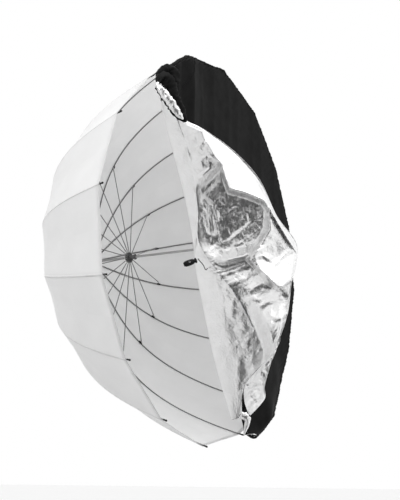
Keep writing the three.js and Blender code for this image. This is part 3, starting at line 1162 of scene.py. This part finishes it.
def make_casing(flap):
    """The gathered casing that the drawstring runs in."""
    on_flap = surface_of(flap)
    line = [(-18, -102), (-4, -108), (14, -107), (34, -101), (54, -94), (74, -88), (92, -83)]
    path = [on_flap(across, up, 1.0) for across, up in line]
    gathers = ruched(path, (0.003, 0.005, 0.005, 0.0045, 0.003), 41, 1.0, 14, 0.0015)
    return cover_piece("drawstring_casing", gathers, [SILVER])


def make_cover():
    """The cover: its hooked panel and, folded back, the rest of the disc, less the cloth in its trim."""
    panel, panel_area, trim = make_panel()
    rim_hem, high_hem, gathered, low_gather = make_hems()
    flap = silver_sheet("cover_flap", flap_rows())
    casing = make_casing(flap)
    corner = make_turned_corner()


# ---------------------------------------------------------------- drawstring and cord lock

# The visible loop, from the lock to the casing, measured from the rim's centre
CORD_ROUTE = [(0.040, -0.180, -0.076), (0.047, -0.160, -0.092), (0.043, -0.136, -0.103),
              (0.040, -0.118, -0.096)]
CORD_RADIUS = 0.0015
LOCK_CENTRE = Vector((0.018, -0.192, -0.088))
LOCK_AXIS = Vector((0.82, 0.46, 0.34)).normalized()


def make_cord():
    points = [RIM_CENTRE + through(CORD_ROUTE, k / 30) for k in range(31)]
    length = sum((b - a).length for a, b in zip(points, points[1:]))
    shape = Shape().add(*tube(points, CORD_RADIUS, 12))
    cord = fitted("drawstring_cord", shape, [CORD], "cover", "drawstring", sharp=60)
    return cord, points, length


def lock_frame():
    turn = Vector((1, 0, 0)).rotation_difference(LOCK_AXIS).to_matrix().to_4x4()
    return Matrix.Translation(RIM_CENTRE + LOCK_CENTRE) @ turn


def make_lock():
    mm = 0.001
    barrel = [(0, -20), (5.6, -20), (7, -18.4), (7, -16.6), (8.2, -16), (9, -14), (9, 8), (8.4, 8.6),
              (8.4, 9.6), (9, 10.2), (9, 12), (6.6, 12), (6.5, 11), (6.5, -12), (0, -12)]
    plunger = [(0, -6), (5.6, -6), (6.2, -5), (6.2, 17.5), (8.1, 17.5), (8.5, 18), (8.5, 20.6), (7.6, 22),
               (4, 23.4), (0, 23.6)]
    shapes = {}
    for name, outline in (("barrel", barrel), ("plunger", plunger)):
        turned = lathe([(r * mm, x * mm) for r, x in outline], 40)
        shapes[name] = Shape().add(*moved(turned, lock_frame()))
    for k in range(12):
        turn = Matrix.Rotation(2 * math.pi * k / 12, 4, "X") @ Matrix.Translation((-0.002, 0.0089, 0))
        shapes["barrel"].add(*moved(block(0.014, 0.0012, 0.0016, 0.0004), lock_frame() @ turn))
    sideways = Matrix.Rotation(math.pi / 2, 4, "Z")
    ring = [(0.0022, -0.0002), (0.0030, 0.0), (0.0030, 0.0006), (0.0022, 0.0006), (0.0022, -0.0002)]
    eye = moved(lathe(ring, 24), lock_frame() @ Matrix.Translation((0, -0.0091, 0)) @ sideways)
    shapes["barrel"].add(*eye, 1)
    return [fitted(node + "_part", shape, [PLASTIC, STEEL], body, node)
            for node, shape, body in (("cord_lock_barrel", shapes["barrel"], "cover"),
                                      ("cord_lock_plunger", shapes["plunger"], "lock_plunger"))]


def make_drawstring():
    cord, points, length = make_cord()
    lock = make_lock()


# ---------------------------------------------------------------- floor and light


def make_floor():
    look = Look("pale_floor", Roughness=0.8)
    look.set("Base Color", look.ramp(look.noise(2), 0.92, 0.94))
    corners = [(-30, -30, 0), (30, -30, 0), (30, 30, 0), (-30, 30, 0)]
    floor = linked("floor", Shape().add(corners, [[0, 1, 2, 3]]).mesh("floor", [look.material]))
    floor.location = (0, 0, -1.5)
    floor.visible_glossy = False
    floor.visible_diffuse = False


def area_light(name, place, target, size, power):
    data = bpy.data.lights.new(name, "AREA")
    data.shape = "RECTANGLE"
    data.size, data.size_y = size
    data.energy = power
    light = linked(name, data)
    light.location = place
    aim(light, Vector(target) - Vector(place))


def set_tone():
    """Tones as they are lit, so that a white background is white."""
    bpy.context.scene.view_settings.view_transform = "Standard"


ROOM_LIGHT = 1.0
ROOM_DARK = 0.04
DARK_SIDE = Vector((0.34, -0.60, -0.72)).normalized()  # the unlit end of the room, which the cloth reflects


def make_world():
    """White behind the object. Around it a white room with one dark end."""
    world = bpy.data.worlds.new("studio")
    bpy.context.scene.world = world
    room = Nodes(world)
    facing = room.node("VectorMath")
    facing.operation = "DOT_PRODUCT"
    facing.inputs[1].default_value = DARK_SIDE
    room.link(room.node("TexCoord").outputs["Generated"], facing.inputs[0])
    mix = room.node("Mix")
    mix.data_type = "RGBA"
    mix.inputs["B"].default_value = colour(1.0)
    room.link(room.node("LightPath").outputs["Is Camera Ray"], mix.inputs["Factor"])
    room.link(room.ramp(facing.outputs["Value"], ROOM_LIGHT, ROOM_DARK, 0.42, 0.9), mix.inputs["A"])
    room.link(mix.outputs["Result"], room.tree.nodes["Background"].inputs["Color"])


make_shaft()
make_crown()
make_notch()
make_runner()
make_shaft_fittings()
make_ribs()
make_canopy()
make_drawstring()
make_cover()
make_floor()
set_tone()
make_world()
area_light("key", (-2.5, -2.2, 4.0), (-0.4, 0, 0), (2.5, 2.5), 40)
area_light("top", (1.2, -0.6, 3.6), (0, 0, 0), (4.5, 4.0), 110)
area_light("side", (-2.5, -2.8, 0.2), (0, 0, 0), (2.5, 2.5), 30)
